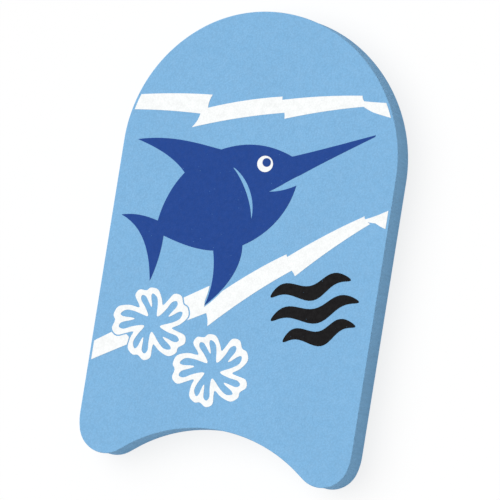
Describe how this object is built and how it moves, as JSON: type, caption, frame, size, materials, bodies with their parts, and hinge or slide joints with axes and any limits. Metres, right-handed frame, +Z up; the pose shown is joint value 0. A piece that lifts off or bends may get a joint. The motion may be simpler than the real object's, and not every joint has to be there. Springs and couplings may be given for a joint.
{
  "type": "kickboard float",
  "caption": "Flat foam kickboard with a rounded nose, parallel sides, a curved body cut-out between its tail lobes, and a printed upper face.",
  "frame": {"origin": "centre of the underside's bounding rectangle, on the surface the board lies on", "axes": "+X across the board, +Y along its length towards the rounded nose, +Z up through its thickness, out of the printed face"},
  "size_m": [0.21, 0.34, 0.0306],
  "materials": {
    "foam": "matte closed-cell EVA foam",
    "white_ink": "satin printing ink",
    "navy_ink": "satin printing ink",
    "black_ink": "satin printing ink"
  },
  "bodies": {
    "root": {"foam_board": "foam", "upper_wave_print": "white_ink", "lower_wave_print": "white_ink", "left_flower_print": "white_ink", "right_flower_print": "white_ink", "fish_print": "navy_ink", "fish_eye_print": "white_ink", "fish_pupil_print": "navy_ink", "wave_mark_print": "black_ink"}
  },
  "joints": []
}
